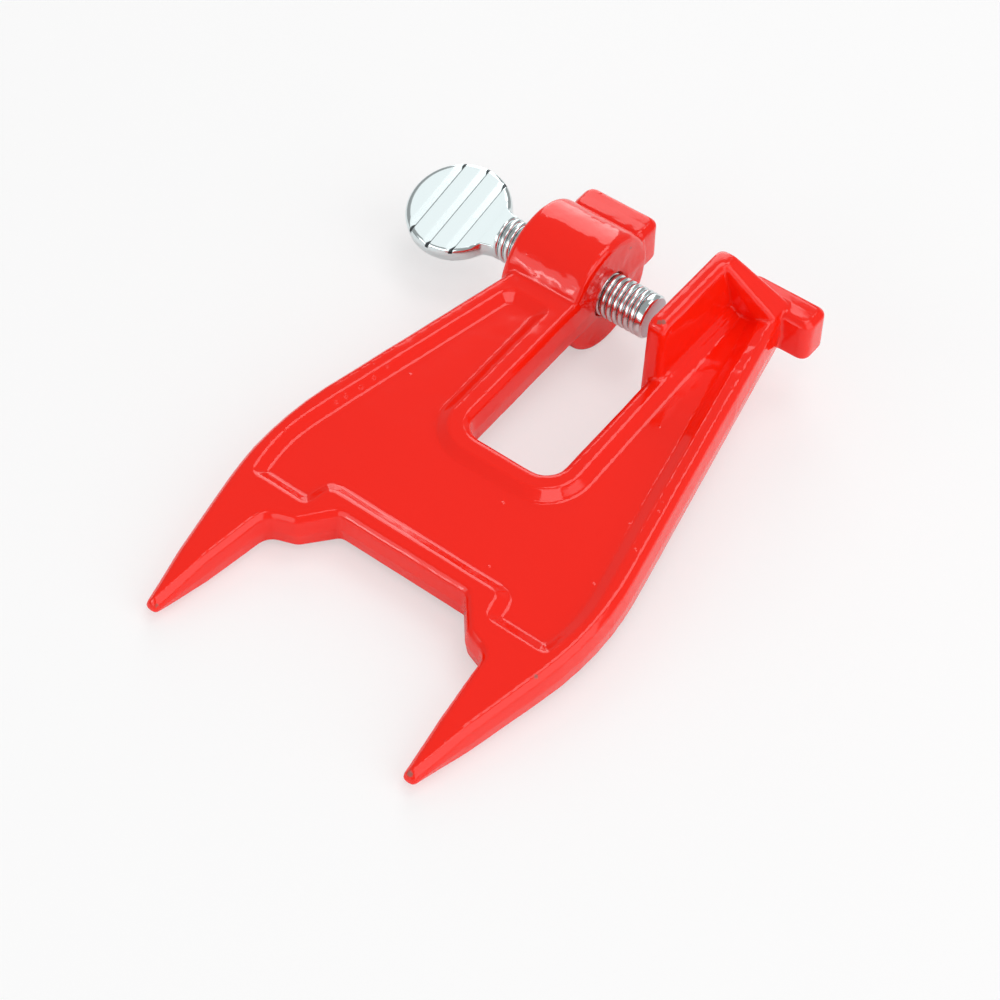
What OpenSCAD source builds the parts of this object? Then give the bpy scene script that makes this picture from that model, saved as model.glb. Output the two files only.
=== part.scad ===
// Chainsaw bar vise: a cast two-armed frame with two driving spikes and one thumb screw.
// Millimetres. The casting is drawn about its mid plane, then tipped onto its three feet.

/* [Casting outline] */
// Half width of the casting at its far end, where the arms meet the striking lugs
arm_end_half = 29; // [27:0.5:31]
// Half width of the casting at the widest point of the waist, before rounding
waist_half = 49.5; // [47:0.1:52]
// How far the widest point lies behind the middle line of the casting
waist_back = 17.2; // [16.4:0.2:20]
// How far the rounding of the waist reaches along each side from its widest point
waist_round = 17.6; // [14:0.2:18.4]
// Distance from the middle line to the spike tips
tip_back = 70.4; // [68:0.2:74]
// Half distance between the outer corners of the two spike tips
tip_half = 38.3; // [37:0.1:40]
// Width of a spike tip
tip_w = 3.3; // [2.6:0.1:4.2]
// Half distance between the inner edges of the spikes at their roots
root_half = 31; // [30:0.25:33]
// Distance from the middle line to the spike roots
root_back = 37.4; // [36:0.25:39.5]
// Half distance between the two ears beside the notch
ear_half = 24.3; // [23:0.25:26]
// Distance from the middle line to the crest of the ears
ear_back = 35; // [33:0.25:35.5]
// Half width of the flat floor of the notch between the spikes
notch_half = 17.9; // [15:0.25:20]
// Distance from the middle line to the floor of the notch
notch_back = 27.3; // [25:0.25:30]

/* [Bar slot] */
// Half width of the slot at its closed end
slot_half = 12.7; // [12:0.1:13.3]
// Half width of the slot at its open end
slot_mouth_half = 12.8; // [12.4:0.1:13.4]
// How far ahead of the middle line the closed end of the slot lies
slot_end = 10.2; // [9.8:0.2:14]
// How far the closed end lies off the middle line, towards the arm with the jaw
slot_shift = 1.3; // [0:0.1:1.6]
// Radius of the two corners of the closed end
slot_r = 5; // [3:0.25:7]

/* [Casting section] */
// Thickness of the casting at the arms
arm_t = 12.3; // [11:0.1:14]
// Thickness of the casting where the spikes start to taper
spike_t = 9.2; // [8:0.2:10]
// Distance from the middle line to where the spikes start to taper
spike_back = 55; // [50:0.5:60]
// Thickness of the spike tips
tip_t = 4.6; // [3:0.2:6]
// Draft of every side wall, from the mid plane to its rounded edge
draft = 0.45; // [0.2:0.05:0.7]
// Radius of the rounded edges
edge_r = 1.3; // [0.8:0.1:1.6]

/* [Recesses] */
// Width of the rim that runs round the outside of the recess
rim_w = 4.7; // [4:0.1:5.5]
// Depth of the recess in each face
recess_depth = 1.8; // [1.2:0.1:2.4]
// Width of the sloping wall round the recess
recess_slope = 2.9; // [2.4:0.1:3.4]
// Half distance between the inner edges of the recess along the slot
recess_inner = 17.7; // [17.4:0.1:18.4]
// Width of the rim at the closed end of the slot
slot_rim = 5.5; // [5:0.1:6]
// Width of the rim along the floor of the notch
notch_rim = 4.6; // [4:0.1:5.2]
// Distance from the crest of the ears to the recess
ear_rim = 5.4; // [5:0.1:6]
// How far ahead of the middle line the recess ends on the arm with the boss
recess_end = 52.4; // [50:0.2:56]

/* [Screw boss and striking lugs] */
// How far ahead of the middle line the screw axis lies
axis_y = 70.9; // [70:0.1:72]
// How far the screw axis lies below the middle plane
axis_drop = 1.3; // [0:0.1:1.6]
// Diameter of the boss that carries the screw
boss_d = 32; // [31:0.2:34]
// Distance from the middle plane to the outer face of the boss
boss_out = 36; // [34.5:0.1:37]
// Distance from the middle plane to the slot face of the boss
boss_in = 13; // [12.6:0.1:14]
// Radius that rounds the rims of the boss
boss_edge_r = 1.8; // [1:0.1:2.4]
// Distance from the middle plane to the outer ends of the striking lugs
lug_out = 35.8; // [34:0.1:37]
// Distance from the middle plane to the inner ends of the striking lugs
lug_in = 14.1; // [13.7:0.1:15]
// How far ahead of the middle line the striking faces lie
lug_end = 93.4; // [92:0.1:96]
// Width of the striking lugs along the casting
lug_w = 9; // [7.5:0.1:10]
// Height of the striking lugs through the casting
lug_h = 13; // [12:0.1:14]

/* [Fixed jaw] */
// Distance from the middle plane to the gripping face of the jaw
jaw_face = 11.2; // [10.8:0.1:12]
// Thickness of the jaw at the mid plane of the casting
jaw_t = 5.7; // [5:0.1:6.4]
// How far ahead of the middle line the jaw starts
jaw_start = 48.3; // [46:0.2:52]
// Height of the jaw above the mid plane
jaw_top = 22.6; // [20:0.2:24]
// Length of the level top of the jaw
jaw_level = 30.5; // [27:0.5:32]
// Distance from the middle line to the foot of the sloping back of the jaw
jaw_foot = 88.9; // [87:0.2:90]
// Thickness of the gusset at its top, along the casting
gusset_t = 5; // [4:0.2:6]
// Distance from the middle plane to the foot of the gusset
gusset_out = 27.6; // [26:0.2:29]

/* [Thumb screw] */
// Diameter of the screw over its thread
screw_d = 11.8; // [10:0.1:12.4]
// Pitch of the thread
screw_pitch = 1.75; // [1.5:0.25:2]
// Distance from the middle plane to the screw's point as drawn, towards the jaw
point_x = 0; // [-1:0.1:3]
// Depth of the chamfer that ends the thread
point_chamfer = 1.3; // [0.8:0.1:1.6]
// Diameter of the round thumb plate
head_d = 27.6; // [24:0.2:28]
// Thickness of the thumb plate
head_t = 5.3; // [4.4:0.1:6]
// Distance from the middle plane to the centre of the thumb plate
head_x = 60.6; // [60.6:0.2:64]
// Turn of the screw about its axis as drawn, in degrees
head_turn = 14; // [0:1:359]
// Radius that rounds the rim of the thumb plate
head_edge_r = 1.7; // [1:0.1:2]
// Distance between the grip ridges of the thumb plate
ridge_step = 6.4; // [5.4:0.1:6.8]
// Width of the gentle side of a grip ridge
ridge_run = 2.2; // [1.4:0.1:3]
// Depth of the grip ridges
ridge_depth = 0.7; // [0.4:0.05:0.9]

/* [Hidden] */
// Running clearance all round the screw
run = 0.05;
// Greatest gap between a true arc and its chords
chord = 0.05;
// Overlap that joins one body to the next
lap = 0.5;
// Sides of every turned surface
round_n = 96;
// Neck between the thumb plate and the thread: its length, its flare and how deep it sinks into the plate
neck_len = 4;
neck_flare = 2.4;
neck_sink = 3.5;
// How far the ridges lie off the middle of the thumb plate
ridge_shift = 0.5;
// How far the foot of the gusset stands ahead of the striking lug
gusset_lead = 3.2;
// Rounded edge of the gusset
gusset_r = 1.3;
// Radius that rounds the edges of the striking lugs and the jaw
lug_edge_r = 1.3;
// Radius of the upright corners of the striking lugs
lug_corner_r = 2.6;
// Corner radii of the notch floor, the ears, the spike roots, the spike tips, the arm ends and the recess
notch_r = 1.5;
ear_r = 3;
root_r = 3.5;
tip_r = 1.4;
arm_r = 1;
recess_r = 1.5;
// Radii of the jaw's upper corners, front and back, and how far its front leans
jaw_front_r = 2.6;
jaw_back_r = 4;
jaw_lean = 2;
// Taper of the jaw's outer side, across per up
jaw_taper = 0.045;
// Radius of the fillet along the foot of the jaw
foot_r = 1.6;
// How much closer the recess comes to the slot beside the jaw than at the closed end
recess_close = 2.6;
// How far the step of the recess beside the ears leans out
recess_step = 1.2;
// Corner cut off the recess beside the boss
recess_nip = 2.5;
// Where the arms end: the foot of the gusset, and inside the lugs
end_y = lug_end - lug_w - gusset_lead;
plate_end = end_y + gusset_lead + 2;
// Taper of the outer side ahead of the waist and behind it, across per along
side_rise = (waist_half - arm_end_half) / (end_y + waist_back);
side_fall = (waist_half - tip_half) / (tip_back - waist_back);
half_arm = arm_t / 2;
half_spike = spike_t / 2;
half_tip = tip_t / 2;
half_lug = lug_h / 2;
boss_r = boss_d / 2;
screw_r = screw_d / 2;
thread_h = 0.61 * screw_pitch;
bore_r = screw_r + run;
head_r = head_d / 2;
// Radius of the waist, its reach forward, and where between it and the recess the thickness starts to fall
waist_turn = atan(side_rise) + atan(side_fall);
waist_r = waist_round / tan(waist_turn / 2);
waist_run = waist_round * cos(atan(side_rise));
waist_max = waist_half - waist_r * (1 / cos(waist_turn / 2) - 1);
taper_y = (waist_run - waist_back + slot_end - slot_rim - recess_slope) / 2;
// Edge inset of the flat faces, from the mid plane outline
face_in = draft + edge_r;
// The casting tips until a spike touches: at its tip or where it starts to taper
feet = [[face_in - tip_back, half_tip], [-spike_back, half_spike]];
function tip_for(f) =
    let (along = axis_y - f[0])
    let (up = f[1] - axis_drop)
    asin(boss_r / norm([along, up])) - atan2(up, along);
tilt = min([for (f = feet) tip_for(f)]);
// Shift that puts the middle of the outer box on the origin and its base on the plate
front_y = -tip_back * cos(tilt);
back_y = lug_end * cos(tilt) + (half_lug - lug_edge_r) * sin(tilt);
shift_x = (head_x + head_r - waist_max) / 2;
shift_y = -(front_y + back_y) / 2;
shift_z = boss_r - axis_y * sin(tilt) + axis_drop * cos(tilt);

red = [0.95, 0.17, 0.11];
zinc = [0.83, 0.85, 0.87];

// Outlines. A corner is [x, y, radius]; a negative radius marks a station on a straight edge
function unit(v) = v / norm(v);
function left(v) = [-v[1], v[0]];
function turned(v, a) = [v[0] * cos(a) - v[1] * sin(a), v[0] * sin(a) + v[1] * cos(a)];
function steps(r, a) = max(2, ceil(abs(a) / (2 * acos(1 - chord / max(r, 0.6)))));
function corner(p, d1, d2, r0, inset) =
    let (a = atan2(d1[0] * d2[1] - d1[1] * d2[0], d1 * d2))
    let (s = sign(a))
    let (r = max(r0 - s * inset, 0.05))
    let (q = p + inset * (left(d1) + left(d2)) / (1 + d1 * d2))
    let (c = q + s * r * left(d1) - r * tan(abs(a) / 2) * d1)
    let (n = steps(r0, a))
    [for (k = [0:n]) c - s * r * turned(left(d1), a * k / n)];
function station(p, d, inset) = [p + inset * left(d) - d * (left(d)[1] * inset / d[1])];
function flat2(v) = [v[0], v[1]];
function outline(c, inset = 0) = let (n = len(c)) [
    for (i = [0:n - 1])
        let (p = flat2(c[i]))
        let (d1 = unit(p - flat2(c[(i + n - 1) % n])))
        let (d2 = unit(flat2(c[(i + 1) % n]) - p))
        each c[i][2] < 0 ? station(p, d2, inset) : corner(p, d1, d2, c[i][2], inset)
];

// Joins rings of equal length into one closed skin, each cap given as lists of ring numbers
function level(a, b, c, d) = abs(cross(b - a, c - a) * (d - a)) < 0.000001;
module skin(rings, low_caps, high_caps) {
    n = len(rings[0]);
    m = len(rings);
    points = [for (r = rings) each r];
    sides = [
        for (k = [0:n:(m - 2) * n])
            for (i = [0:n - 1])
                let (a = k + i)
                let (b = k + n + i)
                let (c = k + n + (i + 1) % n)
                let (d = k + (i + 1) % n)
                each level(points[a], points[b], points[c], points[d]) ? [[a, b, c, d]] : [[a, b, c], [a, c, d]]
    ];
    highs = [for (c = high_caps) [for (i = [len(c) - 1:-1:0]) (m - 1) * n + c[i]]];
    polyhedron(points = points, faces = concat(sides, low_caps, highs));
}

// Half thickness of the casting at a place along it
function half_at(y) =
    y >= taper_y ? half_arm
    : y >= -spike_back ? half_arm + (half_spike - half_arm) * (taper_y - y) / (taper_y + spike_back)
    : half_spike + (half_tip - half_spike) * (-spike_back - y) / (tip_back - spike_back);

// Eased edge as [inset, depth below the face] pairs, from the face down
function edge_steps(r) = [[draft + r, 0], [draft, r]];
function raise(ring, side, depth) = [for (p = ring) [p[0], p[1], side * (half_at(p[1]) - depth)]];
function all_of(ring) = [[for (i = [0:len(ring) - 1]) i]];
// Ring numbers of the points between two places along the casting, on one side or on both
function part_of(ring, low, high, side) = [
    for (i = [0:len(ring) - 1])
        if (ring[i][1] >= low - 0.001 && ring[i][1] <= high + 0.001 && ring[i][0] * side > -0.001) i
];

// Half outline of the casting, from the waist side of the right arm round to the notch
function outer_x(y) = waist_half - side_rise * (y + waist_back);
function fall_x(y) = waist_half + side_fall * (y + waist_back);
function inner_x(y) = root_half + (tip_half - tip_w - root_half) * (-root_back - y) / (tip_back - root_back);
function half_outline(side) = [
    [notch_half, -notch_back, notch_r],
    [ear_half, -ear_back, ear_r],
    [root_half, -root_back, root_r],
    [inner_x(-spike_back), -spike_back, -1],
    [tip_half - tip_w, -tip_back, tip_r],
    [tip_half, -tip_back, tip_r],
    [fall_x(-spike_back), -spike_back, -1],
    [waist_half, -waist_back, waist_r],
    [outer_x(taper_y), taper_y, -1],
    [outer_x(plate_end), plate_end, arm_r],
    [slot_mouth_half, plate_end, arm_r],
    [slot_half + side * slot_shift, slot_end, slot_r]
];
function mirrored(c) = [for (i = [len(c) - 1:-1:0]) [-c[i][0], c[i][1], c[i][2]]];
plate = concat(half_outline(1), mirrored(half_outline(-1)));

module plate_body() {
    e = edge_steps(edge_r);
    low = [for (s = e) raise(outline(plate, s[0]), -1, s[1])];
    high = [for (s = [e[1], e[0]]) raise(outline(plate, s[0]), 1, s[1])];
    mid = [[for (p = outline(plate)) [p[0], p[1], 0]]];
    face = outline(plate, face_in);
    far = tip_back + 1;
    caps = [
        part_of(face, taper_y, lug_end, 0),
        part_of(face, -spike_back, taper_y, 0),
        part_of(face, -far, -spike_back, 1),
        part_of(face, -far, -spike_back, -1)
    ];
    skin(concat(low, mid, high), caps, caps);
}

// Recess outline at the face: the right half from the notch side round to the slot side, then the left
recess_waist_r = waist_r / 2;
recess_corner_r = slot_r + slot_rim - 0.9;
recess_far = end_y + recess_slope;
recess_back = ear_rim - ear_back;
recess_nip_y = recess_end - recess_nip;
recess_right = [
    [ear_half, notch_rim - notch_back, recess_r],
    [ear_half + recess_step, recess_back, ear_r],
    [fall_x(recess_back) - rim_w, recess_back, recess_r],
    [waist_half - rim_w, -waist_back, recess_waist_r],
    [outer_x(taper_y) - rim_w, taper_y, -1],
    [outer_x(recess_far) - rim_w, recess_far, recess_r],
    [recess_inner + slot_shift - recess_close, recess_far, recess_r],
    [recess_inner + slot_shift, slot_end - slot_rim, recess_corner_r]
];
recess_left = [
    [slot_shift - recess_inner, slot_end - slot_rim, recess_corner_r],
    [-recess_inner, recess_end, recess_r],
    [rim_w + recess_nip - outer_x(recess_end), recess_end, recess_r],
    [rim_w - outer_x(recess_nip_y), recess_nip_y, recess_r],
    [rim_w - outer_x(taper_y), taper_y, -1],
    [rim_w - waist_half, -waist_back, recess_waist_r],
    [rim_w - fall_x(recess_back), recess_back, recess_r],
    [-ear_half - recess_step, recess_back, ear_r],
    [-ear_half, notch_rim - notch_back, recess_r]
];
recess = concat(recess_right, recess_left);

// Tool that cuts the recess out of the upper face
module recess_cut() {
    over = 1.2;
    flare = recess_slope / recess_depth;
    floor_ring = outline(recess, recess_slope);
    top_ring = outline(recess, -over * flare);
    rings = [raise(floor_ring, 1, recess_depth), raise(top_ring, 1, -over)];
    caps = function(ring) [
        part_of(ring, taper_y, lug_end + boss_r, 0),
        part_of(ring, -tip_back, taper_y, 0)
    ];
    skin(rings, caps(floor_ring), caps(top_ring));
}

// Straight block on the mid plane with upright walls and eased edges
module block(c, half_h, r) {
    at = function(inset, z) [for (p = outline(c, inset)) [p[0], p[1], z]];
    rings = [at(r, -half_h), at(0, r - half_h), at(0, half_h - r), at(r, half_h)];
    skin(rings, all_of(rings[0]), all_of(rings[0]));
}

module lug(side) {
    x1 = side > 0 ? lug_in : -lug_out;
    x2 = side > 0 ? lug_out : -lug_in;
    block([
        [x1, lug_end - lug_w, lug_corner_r],
        [x2, lug_end - lug_w, lug_corner_r],
        [x2, lug_end, lug_corner_r],
        [x1, lug_end, lug_corner_r]
    ], half_lug, lug_edge_r);
}

// Side view of the jaw, along the casting and up
jaw_back = jaw_start + jaw_lean + jaw_level;
jaw_side = [
    [jaw_start, -half_arm, arm_r],
    [jaw_foot, -half_arm, arm_r],
    [jaw_foot, half_lug - lug_edge_r, jaw_back_r],
    [jaw_back, jaw_top, jaw_back_r],
    [jaw_start + jaw_lean, jaw_top, jaw_front_r]
];

module jaw() {
    e = [for (a = [0, 45, 90]) lug_edge_r * [1 - sin(a), 1 - cos(a)]];
    inner = [for (s = e) [for (p = outline(jaw_side, s[0])) [jaw_face + s[1], p[0], p[1]]]];
    outer = [
        for (k = [2:-1:0])
            [for (p = outline(jaw_side, e[k][0])) [jaw_face + jaw_t - jaw_taper * p[1] - e[k][1], p[0], p[1]]]
    ];
    skin(concat(inner, outer), all_of(inner[0]), all_of(inner[0]));
}

// Concave fillet along the outer foot of the jaw
module jaw_fillet() {
    x0 = jaw_face + jaw_t - lap;
    translate([0, jaw_foot - 1, 0])
        rotate([90, 0, 0])
            linear_extrude(jaw_foot - jaw_start - 5)
                difference() {
                    translate([x0 - lap, half_arm - lap])
                        square([foot_r + lap, foot_r + lap]);
                    translate([x0 + foot_r, half_arm + foot_r])
                        circle(foot_r, $fn = 48);
                }
}

// Four rounded corners of the gusset at one height
module gusset_corners(out_x, ys, z) {
    for (x = [jaw_face + jaw_t / 2, out_x - gusset_r], y = ys + [gusset_r, -gusset_r])
        translate([x, y, z])
            sphere(gusset_r, $fn = 16);
}

// Gusset with leaning faces, from the top of the jaw down to the end of the striking lug
module gusset() {
    hull() {
        gusset_corners(jaw_face + jaw_t, [jaw_back - gusset_t, jaw_back], jaw_top - gusset_r);
        gusset_corners(gusset_out, [end_y, jaw_foot], half_arm);
        gusset_corners(gusset_out, [end_y, jaw_foot], 0);
    }
}

// Turned solid about the screw axis from [radius, distance along] points
module along_screw(points) {
    translate([0, axis_y, -axis_drop])
        rotate([0, 90, 0])
            rotate_extrude($fn = round_n)
                polygon(points);
}

// Half section of a disc between two levels, its rims rounded
function disc(r, x0, x1, e) = concat(
    [[0, x0]],
    [for (a = [0:15:90]) [r - e + e * sin(a), x0 + e - e * cos(a)]],
    [for (a = [90:-15:0]) [r - e + e * sin(a), x1 - e + e * cos(a)]],
    [[0, x1]]
);

module boss() {
    along_screw(disc(boss_r, -boss_out, -boss_in, boss_edge_r));
}

// Bore through the boss, with a lead chamfer at each mouth
module bore() {
    lead = thread_h / 2;
    along_screw([
        [0, -boss_out - 1],
        [bore_r + lead + 1, -boss_out - 1],
        [bore_r, -boss_out + lead],
        [bore_r, -boss_in - lead],
        [bore_r + lead + 1, -boss_in + 1],
        [0, -boss_in + 1]
    ]);
}

// Tips the drawing onto its three feet and centres it on the origin
module placed() {
    translate([shift_x, shift_y, shift_z])
        rotate([tilt, 0, 0])
            children();
}

// Everything of the casting but its turned boss, made one closed skin by a resize that changes no size
module casting() {
    resize([0, 0, 0])
        union() {
            difference() {
                plate_body();
                recess_cut();
                mirror([0, 0, 1])
                    recess_cut();
            }
            lug(1);
            lug(-1);
            jaw();
            jaw_fillet();
            gusset();
        }
}

module vise_body() {
    color(red)
        placed()
            difference() {
                union() {
                    casting();
                    boss();
                }
                bore();
            }
}

// Round thumb plate lying across the screw axis
module thumb_plate() {
    half = head_t / 2;
    difference() {
        rotate_extrude($fn = round_n)
            polygon(disc(head_r, -half, half, head_edge_r));
        for (side = [0, 1])
            mirror([0, 0, side])
                for (k = [-1:1])
                    translate([k * ridge_step + ridge_shift, head_r, half])
                        rotate([90, 0, 0])
                            linear_extrude(head_d)
                                polygon([[-ridge_run, 0], [0, -ridge_depth], [0, 1], [-ridge_run, 1]]);
    }
}

// Round shank without its plain end, flared and flattened into the thumb plate
module shank() {
    root = head_r - head_x - neck_sink;
    lead = root + neck_len;
    end = point_x - point_chamfer;
    flat = head_t / 2 - 0.2;
    wide = screw_r + neck_flare + 1;
    intersection() {
        along_screw([
            [0, root],
            [screw_r + neck_flare, root],
            [screw_r + neck_flare / 3, root + neck_len / 3],
            [screw_r, lead],
            [screw_r, end],
            [0, end]
        ]);
        translate([0, axis_y, -axis_drop])
            rotate([90, 0, 0])
                linear_extrude(2 * wide, center = true)
                    polygon([
                        [root - 1, -flat],
                        [root, -flat],
                        [lead, -wide],
                        [end + 1, -wide],
                        [end + 1, wide],
                        [lead, wide],
                        [root, flat],
                        [root - 1, flat]
                    ]);
    }
}

// Turns the screw about its axis
module turned_screw() {
    translate([0, axis_y, -axis_drop])
        rotate([head_turn, 0, 0])
            translate([0, -axis_y, axis_drop])
                children();
}

// Screw with its thumb plate, without the plain end
module thumb_screw() {
    color(zinc)
        placed()
            turned_screw() {
                translate([-head_x, axis_y, -axis_drop])
                    thumb_plate();
                shank();
            }
}

// Chamfered end of the screw, which bears on the bar
module screw_point() {
    color(zinc)
        placed()
            along_screw([
                [0, point_x - point_chamfer],
                [screw_r, point_x - point_chamfer],
                [screw_r - thread_h, point_x],
                [0, point_x]
            ]);
}

vise_body();
thumb_screw();
screw_point();
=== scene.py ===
"""Looks of a chainsaw bar vise: the painted iron casting and the zinc plated thumb screw."""

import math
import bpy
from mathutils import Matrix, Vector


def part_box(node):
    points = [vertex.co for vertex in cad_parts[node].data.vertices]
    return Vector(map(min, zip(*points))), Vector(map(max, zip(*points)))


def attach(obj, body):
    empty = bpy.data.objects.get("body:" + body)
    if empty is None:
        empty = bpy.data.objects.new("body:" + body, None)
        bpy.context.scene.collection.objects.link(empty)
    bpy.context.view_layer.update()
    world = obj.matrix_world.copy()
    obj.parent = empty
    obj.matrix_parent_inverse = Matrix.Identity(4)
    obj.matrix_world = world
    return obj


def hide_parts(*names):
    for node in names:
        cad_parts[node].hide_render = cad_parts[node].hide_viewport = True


bl_info = {
    "name": "Chainsaw bar vise",
    "version": (1, 0, 0),
    "blender": (4, 5, 0),
    "location": "3D View > Sidebar > Bar vise",
    "description": "Builds the painted casting, the plated thumb screw and a plain studio",
    "category": "Mesh",
}

import bpy
from mathutils import Matrix, Vector

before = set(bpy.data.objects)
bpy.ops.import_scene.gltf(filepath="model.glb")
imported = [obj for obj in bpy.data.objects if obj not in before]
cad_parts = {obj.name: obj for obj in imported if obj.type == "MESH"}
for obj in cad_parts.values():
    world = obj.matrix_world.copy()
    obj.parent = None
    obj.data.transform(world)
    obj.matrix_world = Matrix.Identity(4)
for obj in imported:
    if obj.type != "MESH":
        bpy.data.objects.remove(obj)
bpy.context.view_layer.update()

MM = 0.001
# Where the thumb screw's axis lies, and where its point ends, in metres
POINT_LOW, POINT_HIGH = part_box("screw_point")
AXIS = (POINT_LOW + POINT_HIGH) / 2
POINT_X = POINT_HIGH.x
SHANK_RADIUS = (POINT_HIGH.z - POINT_LOW.z) / 2
# The thread's crest lies just inside the CAD shank
CREST_RADIUS = SHANK_RADIUS - 0.04 * MM
# Radius, half thickness and middle of the thumb plate, and its turn about the axis from lying flat
PLATE_RADIUS = 13.8 * MM
PLATE_HALF = 2.66 * MM
PLATE_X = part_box("thumb_screw")[0].x + PLATE_RADIUS
PLATE_TURN = math.radians(19.797)
# How far the casting leans back on its two spikes, and where the middle of its drawing lies
LEAN = math.radians(5.797)
CASTING_ORIGIN = (13.362 * MM, -11.704 * MM, 10.132 * MM)

# Places where the enamel is gone or thin, as (x, y, z, radius) in millimetres
BARE_SPOTS = [
    (57.6, -47.3, 11.8, 0.75),
    (50.0, -80.6, 4.7, 0.9),
    (-21.6, -80.8, 4.6, 0.9),
    (-21.6, 56.0, 30.6, 0.8),
    (27.1, 37.5, 37.8, 0.8),
    (27.9, 38.1, 37.8, 0.8),
    (48.6, -79.0, 5.6, 0.5),
    (0.4, 65.9, 26.7, 0.4),
]

# Drops in the paint, in the same form
PAINT_DROPS = [
    (-26.5, -13.9, 15.3, 0.6),
    (-25.8, -11.4, 15.6, 0.6),
    (-25.0, -6.9, 16.0, 0.7),
    (-24.4, -2.8, 16.5, 0.6),
    (-24.2, 1.7, 16.9, 0.5),
    (41.6, 24.6, 20.0, 0.6),
    (39.5, 20.5, 19.2, 0.5),
]

# Slope that ends the recess in front of the gusset, in millimetres of the casting's drawing: its
# sides, where it rises, where it meets the rim and where it ends, and its foot and top
SLOPE_LOW, SLOPE_HIGH = 12.5, 26
SLOPE_FRONT, SLOPE_CREST, SLOPE_BACK = 78.6, 81.4, 84
SLOPE_FOOT, SLOPE_TOP = 3.2, 6.15

# One turn of the thread as (share of the pitch, share of the depth): broad crest, narrow root
THREAD_SHAPE = [
    (0.0, 1.0),
    (0.1, 0.985),
    (0.2, 0.93),
    (0.29, 0.83),
    (0.37, 0.65),
    (0.43, 0.38),
    (0.47, 0.1),
    (0.5, 0.0),
    (0.53, 0.1),
    (0.57, 0.38),
    (0.63, 0.65),
    (0.71, 0.83),
    (0.8, 0.93),
    (0.9, 0.985),
    (1.0, 1.0),
]
THREAD_SIDES = 72
COLLAR_SIDES = 96

# How far each smoothing moves a point towards its neighbours' middle
SMOOTHING = 0.5
# Most triangles that a remeshed skin keeps once its flat parts are thinned
SKIN_TRIANGLES = 190000
# A face whose normal runs along the screw at least this much is one of its flat ends
END_FACE = 0.98

# Soft lights as (name, azimuth, elevation, width, height, level), in degrees seen from the vise
SOFTBOXES = [
    ("back_left_panel", -35, 24.5, 26, 49, 2.2),
    ("overhead_panel", 8, 69, 28, 26, 2.3),
    ("high_side_panel", 130, 66, 26, 20, 2.1),
    ("right_panel", 90, 27, 50, 60, 1.4),
    ("front_panel", -165, 22, 60, 26, 1.4),
    ("front_spot", -153, 17, 8, 6, 6),
]
# White card over the thumb plate, in the same form
PLATE_CARD = ("plate_card", 0, 84, 76, 76, 0.73)
# Floor's radius, and how far from the vise its shading starts and ends to fade, in metres
FLOOR_RADIUS = 6
FADE_START, FADE_END = 0.35, 1.6

# Sizes and colours


class BarViseCastingSettings(bpy.types.PropertyGroup):
    """Sizes and colours of the painted casting"""

    skin_mesh: bpy.props.FloatProperty(
        name="Skin mesh size",
        description="Length of the small faces that the painted skin is made of",
        default=0.35 * MM,
        min=0.3 * MM,
        max=1.5 * MM,
        unit="LENGTH",
        precision=5,
    )
    softening: bpy.props.IntProperty(
        name="Edge softening",
        description="How many times the paint's skin is smoothed over the edges and corners",
        default=7,
        min=0,
        max=30,
    )
    wave_height: bpy.props.FloatProperty(
        name="Wave height",
        description="Height of the low waves that sand casting and thick paint leave",
        default=0.13 * MM,
        min=0,
        max=0.5 * MM,
        unit="LENGTH",
        precision=5,
    )
    wave_length: bpy.props.FloatProperty(
        name="Wave length",
        description="Distance between the low waves of the skin",
        default=7 * MM,
        min=2 * MM,
        max=20 * MM,
        unit="LENGTH",
        precision=5,
    )
    enamel_colour: bpy.props.StringProperty(
        name="Enamel",
        description="Colour of the stoved enamel, as an sRGB hex value",
        default="#FA1E0A",
    )
    bare_colour: bpy.props.StringProperty(
        name="Bare iron",
        description="Colour of the iron where the enamel is chipped, as an sRGB hex value",
        default="#8A5C50",
    )
    enamel_roughness: bpy.props.FloatProperty(
        name="Enamel roughness",
        description="How blurred the enamel's reflections are",
        default=0.09,
        min=0,
        max=1,
        subtype="FACTOR",
    )


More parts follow.
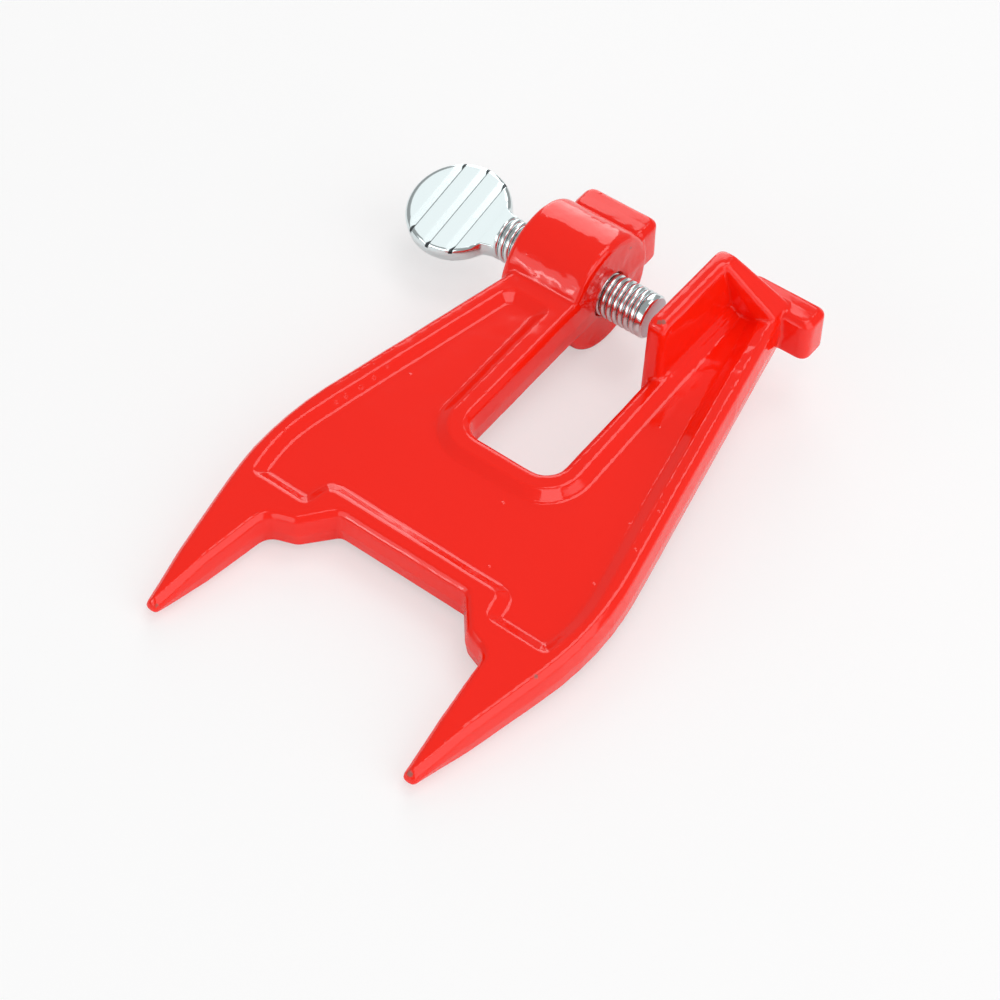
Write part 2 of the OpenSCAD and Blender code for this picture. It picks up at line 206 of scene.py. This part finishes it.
class BarViseScrewSettings(bpy.types.PropertyGroup):
    """Sizes and colours of the thumb screw"""

    plate_mesh: bpy.props.FloatProperty(
        name="Plate mesh size",
        description="Length of the small faces that the thumb plate is made of",
        default=0.155 * MM,
        min=0.15 * MM,
        max=0.6 * MM,
        unit="LENGTH",
        precision=5,
    )
    plate_softening: bpy.props.IntProperty(
        name="Plate softening",
        description="How many times the thumb plate is smoothed over its edges",
        default=1,
        min=0,
        max=20,
    )
    neck_softening: bpy.props.IntProperty(
        name="Neck softening",
        description="How many times the neck is smoothed into the thumb plate",
        default=60,
        min=0,
        max=200,
    )
    pitch: bpy.props.FloatProperty(
        name="Thread pitch",
        description="Distance between two turns of the thread",
        default=1.75 * MM,
        min=1 * MM,
        max=3 * MM,
        unit="LENGTH",
        precision=5,
    )
    thread_depth: bpy.props.FloatProperty(
        name="Thread depth",
        description="Height of the thread from root to crest",
        default=0.72 * MM,
        min=0.5 * MM,
        max=1.6 * MM,
        unit="LENGTH",
        precision=5,
    )
    thread_length: bpy.props.FloatProperty(
        name="Thread length",
        description="Length of the thread from the screw's point to the smooth neck",
        default=45.2 * MM,
        min=30 * MM,
        max=46 * MM,
        unit="LENGTH",
        precision=5,
    )
    collar: bpy.props.FloatProperty(
        name="End collar",
        description="Length of the plain collar at the screw's point",
        default=2.3 * MM,
        min=1.6 * MM,
        max=3 * MM,
        unit="LENGTH",
        precision=5,
    )
    chamfer: bpy.props.FloatProperty(
        name="End chamfer",
        description="Depth of the chamfer at the screw's point",
        default=0.4 * MM,
        min=0.3 * MM,
        max=1.3 * MM,
        unit="LENGTH",
        precision=5,
    )
    zinc_colour: bpy.props.StringProperty(
        name="Zinc",
        description="Colour of the bright zinc plate, as an sRGB hex value",
        default="#DFEAEB",
    )
    # Painted shade: this colour darkens the thread roots and the foot of each plate ridge, where
    # shade falls
    painted_shade_colour: bpy.props.StringProperty(
        name="Soil",
        description="Colour of the oil and dust in roots and corners, as an sRGB hex value",
        default="#3E4244",
    )
    ridge_step: bpy.props.FloatProperty(
        name="Ridge step",
        description="Distance between the grip ridges of the thumb plate",
        default=6.4 * MM,
        min=4 * MM,
        max=8 * MM,
        unit="LENGTH",
        precision=5,
    )
    ridge_shift: bpy.props.FloatProperty(
        name="Ridge shift",
        description="How far the middle ridge lies off the middle of the thumb plate",
        default=0.5 * MM,
        unit="LENGTH",
        precision=5,
    )
    zinc_roughness: bpy.props.FloatProperty(
        name="Zinc roughness",
        description="How blurred the zinc's reflections are",
        default=0.15,
        min=0,
        max=1,
        subtype="FACTOR",
    )


class BarViseStudioSettings(bpy.types.PropertyGroup):
    """Camera, floor and light of the studio"""

    azimuth: bpy.props.FloatProperty(
        name="Azimuth",
        description="How far round the vise the camera stands, from straight behind the spikes",
        default=math.radians(33.7389),
        subtype="ANGLE",
    )
    elevation: bpy.props.FloatProperty(
        name="Elevation",
        description="Height of the camera above the horizon",
        default=math.radians(46.4485),
        subtype="ANGLE",
    )
    roll: bpy.props.FloatProperty(
        name="Roll",
        description="Turn of the camera about its own line of sight",
        default=math.radians(5.1383),
        subtype="ANGLE",
    )
    distance: bpy.props.FloatProperty(
        name="Distance",
        description="Distance from the camera to the spot on the floor that it looks at",
        default=565.0929 * MM,
        unit="LENGTH",
    )
    focal_length: bpy.props.FloatProperty(
        name="Focal length",
        description="Focal length in millimetres on a sensor 36 mm wide",
        default=86.326,
    )
    aim: bpy.props.FloatVectorProperty(
        name="Aim",
        description="Spot on the floor that the camera looks at",
        default=(13.743 * MM, -1.8868 * MM, 0),
        subtype="TRANSLATION",
    )
    floor_colour: bpy.props.StringProperty(
        name="Floor",
        description="Colour of the plain floor, as an sRGB hex value",
        default="#FAFAFA",
    )
    room_level: bpy.props.FloatProperty(
        name="Room light",
        description="Even light that comes from all round",
        default=0.38,
        min=0,
    )
    window_level: bpy.props.FloatProperty(
        name="Softboxes",
        description="How bright all the soft lights are, against their plain level",
        default=1.0,
        min=0,
    )
    floor_glow: bpy.props.FloatProperty(
        name="Floor evenness",
        description="How much the camera sees the floor as plain white paper, without shading",
        default=0.5,
        min=0,
        max=1,
        subtype="FACTOR",
    )


# Small tools


def linear(hex_colour):
    """Linear colour of an sRGB hex value"""
    parts = [int(hex_colour[i : i + 2], 16) / 255 for i in (1, 3, 5)]
    steps = [v / 12.92 if v <= 0.04045 else ((v + 0.055) / 1.055) ** 2.4 for v in parts]
    return (*steps, 1.0)


def node(tree, kind, links=None, **settings):
    """Adds a node. Settings go to its properties or inputs; links feed inputs by name or number"""
    made = tree.nodes.new(kind)
    for name, value in settings.items():
        if hasattr(made, name):
            setattr(made, name, value)
        else:
            made.inputs[name.replace("_", " ")].default_value = value
    for name, source in (links or {}).items():
        tree.links.new(source, made.inputs[name])
    return made


def new_material(name):
    """Empty node material and its node tree"""
    material = bpy.data.materials.new(name)
    material.use_nodes = True
    material.node_tree.nodes.clear()
    return material, material.node_tree


def pick(obj):
    """Deselects everything else and makes one object active"""
    for other in list(bpy.context.selected_objects):
        other.select_set(False)
    obj.select_set(True)
    bpy.context.view_layer.objects.active = obj


def edit(obj, selection="SELECT"):
    """Opens one object in edit mode with all of it selected or not"""
    pick(obj)
    bpy.ops.object.mode_set(mode="EDIT")
    bpy.ops.mesh.select_all(action=selection)


def close_edit():
    """Goes back to object mode"""
    bpy.ops.object.mode_set(mode="OBJECT")


def modifier(obj, kind, **settings):
    """Adds a modifier and applies it"""
    made = obj.modifiers.new(kind.lower(), kind)
    for name, value in settings.items():
        setattr(made, name, value)
    pick(obj)
    bpy.ops.object.modifier_apply(modifier=made.name)


def thin(obj):
    """Thins the flat parts of a remeshed skin down to the most triangles that it may keep"""
    faces = 2 * len(obj.data.polygons)
    if faces > SKIN_TRIANGLES:
        modifier(obj, "DECIMATE", ratio=SKIN_TRIANGLES / faces)


def merged_copy(node_name, name):
    """Copy of a CAD node with its loose triangles merged into one skin"""
    made = bpy.data.objects.new(name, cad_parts[node_name].data.copy())
    bpy.context.scene.collection.objects.link(made)
    made.data.name = name
    made.data.materials.clear()
    edit(made)
    bpy.ops.mesh.remove_doubles(threshold=0.002 * MM)
    close_edit()
    bpy.ops.mesh.customdata_custom_splitnormals_clear()
    return made


def cut_off(obj, x, keep_low):
    """Cuts an object across the screw axis, closes the cut and keeps one side"""
    edit(obj)
    bpy.ops.mesh.bisect(
        plane_co=(x, 0, 0),
        plane_no=(1, 0, 0),
        use_fill=True,
        clear_inner=not keep_low,
        clear_outer=keep_low,
    )
    close_edit()


def settle(obj):
    """Puts an object's place into its mesh and turns its faces outwards"""
    pick(obj)
    bpy.ops.object.transform_apply(location=True, rotation=True, scale=True)
    edit(obj)
    bpy.ops.mesh.remove_doubles(threshold=0.001 * MM)
    bpy.ops.mesh.normals_make_consistent(inside=False)
    close_edit()


def profile_object(name, points):
    """Chain of edges through [along, radius] points, drawn beside the screw axis"""
    bpy.ops.mesh.primitive_plane_add(size=MM, location=AXIS)
    made = bpy.context.object
    made.name = made.data.name = name
    edit(made)
    bpy.ops.mesh.merge(type="CENTER")
    last = (0.0, 0.0)
    for i, point in enumerate(points):
        step = (point[0] - last[0], 0, point[1] - last[1])
        if i == 0:
            bpy.ops.transform.translate(value=step)
        else:
            bpy.ops.mesh.extrude_region_move(TRANSFORM_OT_translate={"value": step})
        last = point
    close_edit()
    return made


# Materials


def ramp(tree, value, low, high):
    """Value that runs from 0 where the input is at low to 1 where it is at high"""
    made = node(tree, "ShaderNodeMapRange", {"Value": value})
    made.inputs["From Min"].default_value = low
    made.inputs["From Max"].default_value = high
    return made.outputs[0]


def maths(tree, operation, *values):
    """Sum, product, root and so on of values or sockets"""
    made = node(tree, "ShaderNodeMath", operation=operation)
    for i, value in enumerate(values):
        if isinstance(value, (int, float)):
            made.inputs[i].default_value = value
        else:
            tree.links.new(value, made.inputs[i])
    return made.outputs[0]


def diagonal(tree, a, b):
    """Length of the diagonal over two sides"""
    squares = [maths(tree, "MULTIPLY", side, side) for side in (a, b)]
    return maths(tree, "SQRT", maths(tree, "ADD", *squares))


def axis_distance(tree, place):
    """Distance from the screw axis"""
    split = node(tree, "ShaderNodeSeparateXYZ", {0: place})
    across = maths(tree, "SUBTRACT", split.outputs["Y"], AXIS.y)
    up = maths(tree, "SUBTRACT", split.outputs["Z"], AXIS.z)
    return diagonal(tree, across, up)


def noise(tree, place, size, detail):
    """Cloudy value between 0 and 1, with clouds of one size"""
    made = node(tree, "ShaderNodeTexNoise", {"Vector": place}, Scale=1 / size, Detail=detail)
    return made.outputs["Fac"]


def blend(tree, share, plain, other):
    """Colour or value that runs from the plain one to the other one"""
    kind = "FLOAT" if isinstance(plain, float) else "RGBA"
    made = node(tree, "ShaderNodeMix", {"Factor": share}, data_type=kind)
    made.inputs["A"].default_value = plain
    made.inputs["B"].default_value = other
    return made.outputs["Result"]


def bump(tree, height, strength, distance, under=None):
    """Normal of a skin raised by a height, over another such normal"""
    links = {"Height": height}
    if under:
        links["Normal"] = under
    return node(tree, "ShaderNodeBump", links, Strength=strength, Distance=distance).outputs[0]


def spots(tree, place, places, grit):
    """Value that is 1 in small ragged spots round the listed places and 0 elsewhere"""
    found = 0.0
    for x, y, z, size in places:
        radius = size * MM
        near = node(tree, "ShaderNodeVectorMath", {0: place}, operation="DISTANCE")
        near.inputs[1].default_value = (x * MM, y * MM, z * MM)
        # The edge runs from 1.5 to 1.1 radii out, less the grit's share of one radius
        ragged = maths(tree, "ADD", near.outputs["Value"], maths(tree, "MULTIPLY", grit, radius))
        spot = ramp(tree, ragged, 1.5 * radius, 1.1 * radius)
        found = maths(tree, "MAXIMUM", found, spot)
    return found


def stoved_enamel():
    """Glossy red enamel, sprayed thick on a sand casting and stoved.

    It gives a deep even red with sharp wet reflections, low waves and fine orange peel, and small
    bare spots of dull iron where the vise has been knocked.
    """
    settings = bpy.context.scene.bar_vise_casting
    material, tree = new_material("stoved_enamel_sprayed")
    place = node(tree, "ShaderNodeTexCoord").outputs["Object"]

    # Bare spots: iron that shows through at four fifths, ragged by grit about 0.4 mm across
    grit = noise(tree, place, 0.4 * MM, 3.0)
    bare = maths(tree, "MULTIPLY", spots(tree, place, BARE_SPOTS, grit), 0.8)
    colour = blend(tree, bare, linear(settings.enamel_colour), linear(settings.bare_colour))
    iron_roughness = 0.5
    roughness = blend(tree, bare, settings.enamel_roughness, iron_roughness)

    # Orange peel: dimples about 1.3 mm apart
    dimples = noise(tree, place, 2.6 * MM, 1.0)
    peel = bump(tree, dimples, strength=0.5, distance=0.035 * MM)

    # Pimples of dust in the paint about 5 mm apart, and drops
    dust = node(tree, "ShaderNodeTexVoronoi", {"Vector": place}, Scale=1 / (7 * MM))
    pimples = ramp(tree, dust.outputs["Distance"], 0.07, 0.02)
    raised = maths(tree, "MAXIMUM", pimples, spots(tree, place, PAINT_DROPS, grit))
    raised = bump(tree, raised, strength=0.6, distance=0.12 * MM, under=peel)

    # Thick paint on the round boss, within 20 mm of the screw axis: runs about 5 mm wide, 0.34 high
    on_boss = ramp(tree, axis_distance(tree, place), 20 * MM, 15 * MM)
    runs = maths(tree, "MULTIPLY", noise(tree, place, 5 * MM, 1.0), on_boss)
    height = maths(tree, "MULTIPLY", runs, 0.34 * MM)
    runs = bump(tree, height, strength=1.0, distance=1.0, under=raised)

    shader = node(
        tree,
        "ShaderNodeBsdfPrincipled",
        {"Base Color": colour, "Roughness": roughness, "Normal": runs},
        IOR=1.5,
    )
    node(tree, "ShaderNodeOutputMaterial", {"Surface": shader.outputs[0]})
    return material


def zinc(name, roughness, painted_shade=None):
    """Node material of zinc plate, cloudy over about 3 mm, with painted shade where a function puts
    it
    """
    settings = bpy.context.scene.bar_vise_screw
    material, tree = new_material(name)
    place = node(tree, "ShaderNodeTexCoord").outputs["Object"]
    clouds = bump(tree, noise(tree, place, 3 * MM, 2.0), strength=0.25, distance=0.05 * MM)
    shader = node(
        tree, "ShaderNodeBsdfPrincipled", {"Normal": clouds}, Metallic=1.0, Roughness=roughness
    )
    clean = linear(settings.zinc_colour)
    # Painted shade: the function's mask blends the zinc towards the darker shade colour
    if painted_shade:
        colour = blend(tree, painted_shade(tree, place), clean, linear(settings.painted_shade_colour))
        tree.links.new(colour, shader.inputs["Base Color"])
    else:
        shader.inputs["Base Color"].default_value = clean
    node(tree, "ShaderNodeOutputMaterial", {"Surface": shader.outputs[0]})
    return material


def bright_zinc():
    """Bright zinc plate on turned steel.

    It gives a pale, slightly blue white metal with soft reflections.
    """
    settings = bpy.context.scene.bar_vise_screw
    made = bpy.data.materials.get("bright_zinc_plated")
    return made or zinc("bright_zinc_plated", settings.zinc_roughness)


def root_painted_shade(tree, place):
    """Painted shade in the thread roots, by the distance from the screw axis"""
    depth = bpy.context.scene.bar_vise_screw.thread_depth
    clean, full = CREST_RADIUS - 0.6 * depth, CREST_RADIUS - 1.1 * depth
    return ramp(tree, axis_distance(tree, place), clean, full)


def thread_zinc():
    """Zinc plate on a rolled thread.

    It gives bright broad crests and roots darkened by painted shade.
    """
    return zinc("zinc_plated_rolled_thread", 0.21, root_painted_shade)


def ridge_painted_shade(tree, place):
    """Painted shade at the foot of each pressed ridge, wider where the ridges cut the rim"""
    settings = bpy.context.scene.bar_vise_screw
    own = node(tree, "ShaderNodeMapping", {"Vector": place}, vector_type="TEXTURE")
    own.inputs["Location"].default_value = (PLATE_X, AXIS.y, AXIS.z)
    own.inputs["Rotation"].default_value = (PLATE_TURN, 0, 0)
    split = node(tree, "ShaderNodeSeparateXYZ", {0: own.outputs[0]})
    x, y, z = (split.outputs[i] for i in range(3))
    step = settings.ridge_step
    # Place along the screw from the middle ridge, and from the next ridge's wall
    along = maths(tree, "SUBTRACT", x, settings.ridge_shift)
    behind = maths(tree, "WRAP", along, 0, -step)
    # The line is 0.34 mm wide, and up to 0.6 mm wider out at the rim, with a soft border
    rim = ramp(tree, diagonal(tree, x, y), 11.6 * MM, 12.8 * MM)
    wide = maths(tree, "ADD", maths(tree, "MULTIPLY", rim, 0.6 * MM), 0.34 * MM)
    line = ramp(tree, maths(tree, "ADD", behind, wide), -0.08 * MM, 0.08 * MM)
    # Only on the three walls, and not down the side of the rim
    near = ramp(tree, maths(tree, "ABSOLUTE", along), 1.2 * step, 1.1 * step)
    face = ramp(tree, maths(tree, "ABSOLUTE", z), 1.4 * MM, 1.6 * MM)
    return maths(tree, "MULTIPLY", maths(tree, "MULTIPLY", line, near), face)


def plate_zinc():
    """Zinc plate on a pressed thumb plate.

    It gives pale, nearly white flats with a thin line of painted shade along each ridge.
    """
    return zinc("zinc_plated_pressed_plate", 0.13, ridge_painted_shade)


def dull_end():
    """Zinc over the cropped end of the screw.

    It gives a flat grey that hardly mirrors.
    """
    material, tree = new_material("dull_zinc_cropped")
    shader = node(tree, "ShaderNodeBsdfPrincipled", Metallic=1.0, Roughness=0.42)
    shader.inputs["Base Color"].default_value = linear("#C6CACE")
    node(tree, "ShaderNodeOutputMaterial", {"Surface": shader.outputs[0]})
    return material


def finish_piece(obj, material, body, cad_node):
    """Gives a piece its material and material slot, parents it to its body and hides its CAD node
    """
    obj.data.materials.append(material)
    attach(obj, body)
    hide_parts(cad_node)


# Pieces


def add_recess_end(casting):
    """Joins the short slope that ends the recess in front of the gusset, as a wedge in the arm"""
    corners = (SLOPE_LOW, SLOPE_FRONT, SLOPE_FOOT), (SLOPE_HIGH, SLOPE_BACK, SLOPE_TOP)
    low, high = (Vector(corner) for corner in corners)
    bpy.ops.mesh.primitive_cube_add(size=1)
    wedge = bpy.context.object
    wedge.name = wedge.data.name = "recess_end"
    edit(wedge)
    bpy.ops.transform.resize(value=high - low)
    bpy.ops.transform.translate(value=(high + low) / 2)
    bpy.ops.mesh.select_all(action="DESELECT")
    close_edit()
    middle = (high + low) / 2
    for vertex in wedge.data.vertices:
        vertex.select = vertex.co.z > middle.z and vertex.co.y < middle.y
    bpy.ops.object.mode_set(mode="EDIT")
    bpy.ops.transform.translate(value=(0, SLOPE_CREST - SLOPE_FRONT, 0))
    close_edit()
    wedge.scale = (MM, MM, MM)
    wedge.rotation_euler = (LEAN, 0, 0)
    wedge.location = CASTING_ORIGIN
    settle(wedge)
    pick(casting)
    wedge.select_set(True)
    bpy.ops.object.join()


def blend_neck(plate, settings):
    """Smooths the neck so that the plate's faces run softly into the thread"""
    start, full = PLATE_X + 7.6 * MM, PLATE_X + 10 * MM
    end, fade = POINT_X - settings.thread_length, 1.2 * MM
    steps = 12
    share = {}
    for vertex in plate.data.vertices:
        x = vertex.co.x
        rise = min(1, (x - start) / (full - start), (end - x) / fade)
        if rise > 0:
            share.setdefault(math.ceil(rise * steps), []).append(vertex.index)
    neck = plate.vertex_groups.new(name="neck")
    for step, vertices in share.items():
        neck.add(vertices, step / steps, "REPLACE")
    modifier(
        plate,
        "SMOOTH",
        factor=SMOOTHING,
        iterations=settings.neck_softening,
        vertex_group=neck.name,
    )
    plate.vertex_groups.clear()


class BARVISE_OT_casting(bpy.types.Operator):
    """Gives the iron casting its soft edges, its waves and its red enamel"""

    bl_idname = "barvise.casting"
    bl_label = "Painted casting"

    def execute(self, context):
        settings = context.scene.bar_vise_casting
        casting = merged_copy("vise_body", "painted_casting")
        add_recess_end(casting)
        modifier(casting, "REMESH", mode="VOXEL", voxel_size=settings.skin_mesh)
        modifier(casting, "SMOOTH", factor=SMOOTHING, iterations=settings.softening)
        waves = bpy.data.textures.new("casting_waves", "CLOUDS")
        waves.noise_scale = settings.wave_length
        waves.noise_depth = 1
        modifier(
            casting,
            "DISPLACE",
            texture=waves,
            texture_coords="LOCAL",
            strength=settings.wave_height,
            mid_level=0.5,
        )
        thin(casting)
        pick(casting)
        bpy.ops.object.shade_smooth()
        finish_piece(casting, stoved_enamel(), "vise", "vise_body")
        return {"FINISHED"}


class BARVISE_OT_thumb_plate(bpy.types.Operator):
    """Rounds the thumb plate and the smooth neck that carries it"""

    bl_idname = "barvise.thumb_plate"
    bl_label = "Thumb plate"

    def execute(self, context):
        settings = context.scene.bar_vise_screw
        plate = merged_copy("thumb_screw", "thumb_plate")
        cut_off(plate, POINT_X - settings.thread_length, keep_low=True)
        # The faces of the plate run on to the thread, as flats on the neck
        face = Vector((0, -math.sin(PLATE_TURN), math.cos(PLATE_TURN)))
        for side in (face, -face):
            edit(plate)
            bpy.ops.mesh.bisect(
                plane_co=AXIS + side * PLATE_HALF, plane_no=side, use_fill=True, clear_outer=True
            )
            close_edit()
        modifier(plate, "REMESH", mode="VOXEL", voxel_size=settings.plate_mesh)
        modifier(plate, "SMOOTH", factor=SMOOTHING, iterations=settings.plate_softening)
        blend_neck(plate, settings)
        thin(plate)
        pick(plate)
        bpy.ops.object.shade_smooth()
        finish_piece(plate, plate_zinc(), "screw", "thumb_screw")
        return {"FINISHED"}


class BARVISE_OT_thread(bpy.types.Operator):
    """Rolls the screw's thread"""

    bl_idname = "barvise.thread"
    bl_label = "Rolled thread"

    def execute(self, context):
        settings = context.scene.bar_vise_screw
        pitch, depth = settings.pitch, settings.thread_depth
        # The helix starts behind the neck and runs on past the point; both ends are cut off
        turns = math.ceil(settings.thread_length / pitch) + 3
        start = POINT_X - AXIS.x + pitch - turns * pitch
        root = CREST_RADIUS - depth
        points = [(start + along * pitch, root + rise * depth) for along, rise in THREAD_SHAPE]
        thread = profile_object("rolled_thread", points)
        modifier(
            thread,
            "SCREW",
            axis="X",
            angle=math.tau,
            screw_offset=pitch,
            steps=THREAD_SIDES,
            render_steps=THREAD_SIDES,
            iterations=turns,
        )
        settle(thread)
        neck_lap, collar_lap = 0.15 * MM, 0.2 * MM
        cut_off(thread, POINT_X - settings.thread_length - neck_lap, keep_low=False)
        cut_off(thread, POINT_X - settings.collar + collar_lap, keep_low=True)
        edit(thread)
        bpy.ops.mesh.normals_make_consistent(inside=False)
        close_edit()
        pick(thread)
        bpy.ops.object.shade_smooth_by_angle(angle=math.radians(50))
        finish_piece(thread, thread_zinc(), "screw", "thumb_screw")
        # The two cuts get plain zinc, without the painted shade
        thread.data.materials.append(bright_zinc())
        for face in thread.data.polygons:
            if abs(face.normal.x) > END_FACE:
                face.material_index = 1
        return {"FINISHED"}


class BARVISE_OT_point(bpy.types.Operator):
    """Turns the plain chamfered collar that ends the screw and bears on the saw bar"""

    bl_idname = "barvise.point"
    bl_label = "Screw point"

    def execute(self, context):
        settings = context.scene.bar_vise_screw
        end = POINT_X - AXIS.x
        start = end - settings.collar
        radius = SHANK_RADIUS - 0.08 * MM
        face = radius - settings.chamfer
        # Rounded shoulder at the thread, straight collar, chamfer, flat end
        points = [
            (start, 0.0),
            (start, radius - 0.9 * MM),
            (start + 0.1 * MM, radius - 0.35 * MM),
            (start + 0.3 * MM, radius - 0.06 * MM),
            (start + 0.55 * MM, radius),
            (end - settings.chamfer - 0.1 * MM, radius),
            (end - settings.chamfer, radius - 0.04 * MM),
            (end - 0.05 * MM, face + 0.03 * MM),
            (end, face - 0.08 * MM),
            (end, 0.0),
        ]
        point = profile_object("chamfered_collar", points)
        modifier(
            point,
            "SCREW",
            axis="X",
            angle=math.tau,
            screw_offset=0,
            steps=COLLAR_SIDES,
            render_steps=COLLAR_SIDES,
        )
        settle(point)
        bpy.ops.object.shade_smooth_by_angle(angle=math.radians(40))
        finish_piece(point, bright_zinc(), "screw_feed_carrier", "screw_point")
        point.data.materials.append(dull_end())
        for face in point.data.polygons:
            if face.normal.x > END_FACE and face.center.x > POINT_X - 0.1 * MM:
                face.material_index = 1
        return {"FINISHED"}


# Studio


def soft_light(name, azimuth, elevation, width, height, level):
    """Flat panel of even light that faces the vise, with its angles in degrees.

    The azimuth runs from +Y towards +X and the elevation up from the horizon. Width and height are
    as seen from the vise, and the level is the light that the panel gives against plain white.
    """
    distance = 1.5
    a, e = math.radians(azimuth), math.radians(elevation)
    towards = Vector((math.sin(a) * math.cos(e), math.cos(a) * math.cos(e), math.sin(e)))
    data = bpy.data.lights.new(name, "AREA")
    data.shape = "RECTANGLE"
    data.size = 2 * distance * math.tan(math.radians(width) / 2)
    data.size_y = 2 * distance * math.tan(math.radians(height) / 2)
    data.energy = level * data.size * data.size_y * math.pi
    lamp = bpy.data.objects.new(name, data)
    bpy.context.scene.collection.objects.link(lamp)
    lamp.location = towards * distance
    lamp.rotation_euler = (-towards).to_track_quat("-Z", "Y").to_euler()
    return lamp


def studio_floor():
    """Plain floor just under the vise, of matt paper from a roll.

    It gives an even white ground that keeps the vise's soft shadow. The camera sees it partly as
    plain white, and wholly so far away.
    """
    settings = bpy.context.scene.bar_vise_studio
    bpy.ops.mesh.primitive_circle_add(
        vertices=64, radius=FLOOR_RADIUS, fill_type="NGON", location=(0, 0, -0.02 * MM)
    )
    floor = bpy.context.object
    floor.name = floor.data.name = "studio_floor"
    material, tree = new_material("matt_paper_rolled")
    paper = node(tree, "ShaderNodeBsdfDiffuse")
    paper.inputs["Color"].default_value = linear(settings.floor_colour)
    white = node(tree, "ShaderNodeEmission", Strength=1.0)
    path = node(tree, "ShaderNodeLightPath")
    place = node(tree, "ShaderNodeTexCoord").outputs["Object"]
    away = node(tree, "ShaderNodeVectorMath", {0: place}, operation="LENGTH").outputs["Value"]
    glow = maths(tree, "MAXIMUM", ramp(tree, away, FADE_START, FADE_END), settings.floor_glow)
    share = maths(tree, "MULTIPLY", glow, path.outputs["Is Camera Ray"])
    shader = node(
        tree, "ShaderNodeMixShader", {0: share, 1: paper.outputs[0], 2: white.outputs[0]}
    )
    node(tree, "ShaderNodeOutputMaterial", {"Surface": shader.outputs[0]})
    floor.data.materials.append(material)


def studio_world():
    """Even room light, white where the camera sees it"""
    settings = bpy.context.scene.bar_vise_studio
    world = bpy.data.worlds.new("studio_room")
    world.use_nodes = True
    tree = world.node_tree
    tree.nodes.clear()
    camera_ray = node(tree, "ShaderNodeLightPath").outputs["Is Camera Ray"]
    room, seen = (
        node(tree, "ShaderNodeBackground", Color=(1, 1, 1, 1), Strength=level)
        for level in (settings.room_level, 1.0)
    )
    mix = node(
        tree, "ShaderNodeMixShader", {0: camera_ray, 1: room.outputs[0], 2: seen.outputs[0]}
    )
    node(tree, "ShaderNodeOutputWorld", {"Surface": mix.outputs[0]})
    bpy.context.scene.world = world


def studio_camera():
    """Camera at the photograph's angle"""
    settings = bpy.context.scene.bar_vise_studio
    a, e, r = settings.azimuth, settings.elevation, settings.roll
    back = Vector((math.sin(a) * math.cos(e), -math.cos(a) * math.cos(e), math.sin(e)))
    right = Vector((math.cos(a), math.sin(a), 0))
    up = back.cross(right)
    # Roll: both turn about the line of sight
    right, up = (
        math.cos(r) * right + math.sin(r) * up,
        math.cos(r) * up - math.sin(r) * right,
    )
    data = bpy.data.cameras.new("studio_camera")
    data.sensor_width = 36
    data.lens = settings.focal_length
    data.clip_start, data.clip_end = 0.05, 20
    camera = bpy.data.objects.new("studio_camera", data)
    bpy.context.scene.collection.objects.link(camera)
    turn = Matrix((right, up, back)).transposed().to_4x4()
    camera.matrix_world = (
        Matrix.Translation(Vector(settings.aim) + back * settings.distance) @ turn
    )
    bpy.context.scene.camera = camera


class BARVISE_OT_studio(bpy.types.Operator):
    """Adds the pale floor, the soft lights and the camera"""

    bl_idname = "barvise.studio"
    bl_label = "Studio"

    def execute(self, context):
        settings = context.scene.bar_vise_studio
        studio_floor()
        studio_world()
        for name, azimuth, elevation, width, height, level in SOFTBOXES:
            soft_light(name, azimuth, elevation, width, height, level * settings.window_level)
        # Only the thumb plate mirrors its card
        card = soft_light(*PLATE_CARD)
        mirrored = bpy.data.collections.new("pieces_under_the_card")
        mirrored.objects.link(bpy.data.objects["thumb_plate"])
        card.light_linking.receiver_collection = mirrored
        studio_camera()
        context.scene.view_settings.view_transform = "Standard"
        return {"FINISHED"}


# Add-on


class BARVISE_PT_panel(bpy.types.Panel):
    """Lists the pieces of the vise and their settings"""

    bl_idname = "BARVISE_PT_panel"
    bl_label = "Bar vise"
    bl_space_type = "VIEW_3D"
    bl_region_type = "UI"
    bl_category = "Bar vise"

    def draw(self, context):
        parts = (
            (context.scene.bar_vise_casting, ("barvise.casting",)),
            (
                context.scene.bar_vise_screw,
                ("barvise.thumb_plate", "barvise.thread", "barvise.point"),
            ),
            (context.scene.bar_vise_studio, ("barvise.studio",)),
        )
        for settings, operators in parts:
            column = self.layout.column()
            for name in settings.bl_rna.properties.keys():
                if name not in {"rna_type", "name"}:
                    column.prop(settings, name)
            for idname in operators:
                column.operator(idname)


GROUPS = {
    "bar_vise_casting": BarViseCastingSettings,
    "bar_vise_screw": BarViseScrewSettings,
    "bar_vise_studio": BarViseStudioSettings,
}
CLASSES = (
    *GROUPS.values(),
    BARVISE_OT_casting,
    BARVISE_OT_thumb_plate,
    BARVISE_OT_thread,
    BARVISE_OT_point,
    BARVISE_OT_studio,
    BARVISE_PT_panel,
)


def register():
    """Adds the settings, the operators and the panel"""
    for cls in CLASSES:
        bpy.utils.register_class(cls)
    for name, group in GROUPS.items():
        setattr(bpy.types.Scene, name, bpy.props.PointerProperty(type=group))


def unregister():
    """Takes them away again"""
    for name in GROUPS:
        delattr(bpy.types.Scene, name)
    for cls in reversed(CLASSES):
        bpy.utils.unregister_class(cls)


def main():
    """Builds every piece and the studio"""
    register()
    bpy.ops.barvise.casting()
    bpy.ops.barvise.thumb_plate()
    bpy.ops.barvise.thread()
    bpy.ops.barvise.point()
    bpy.ops.barvise.studio()


if __name__ == "__main__":
    main()
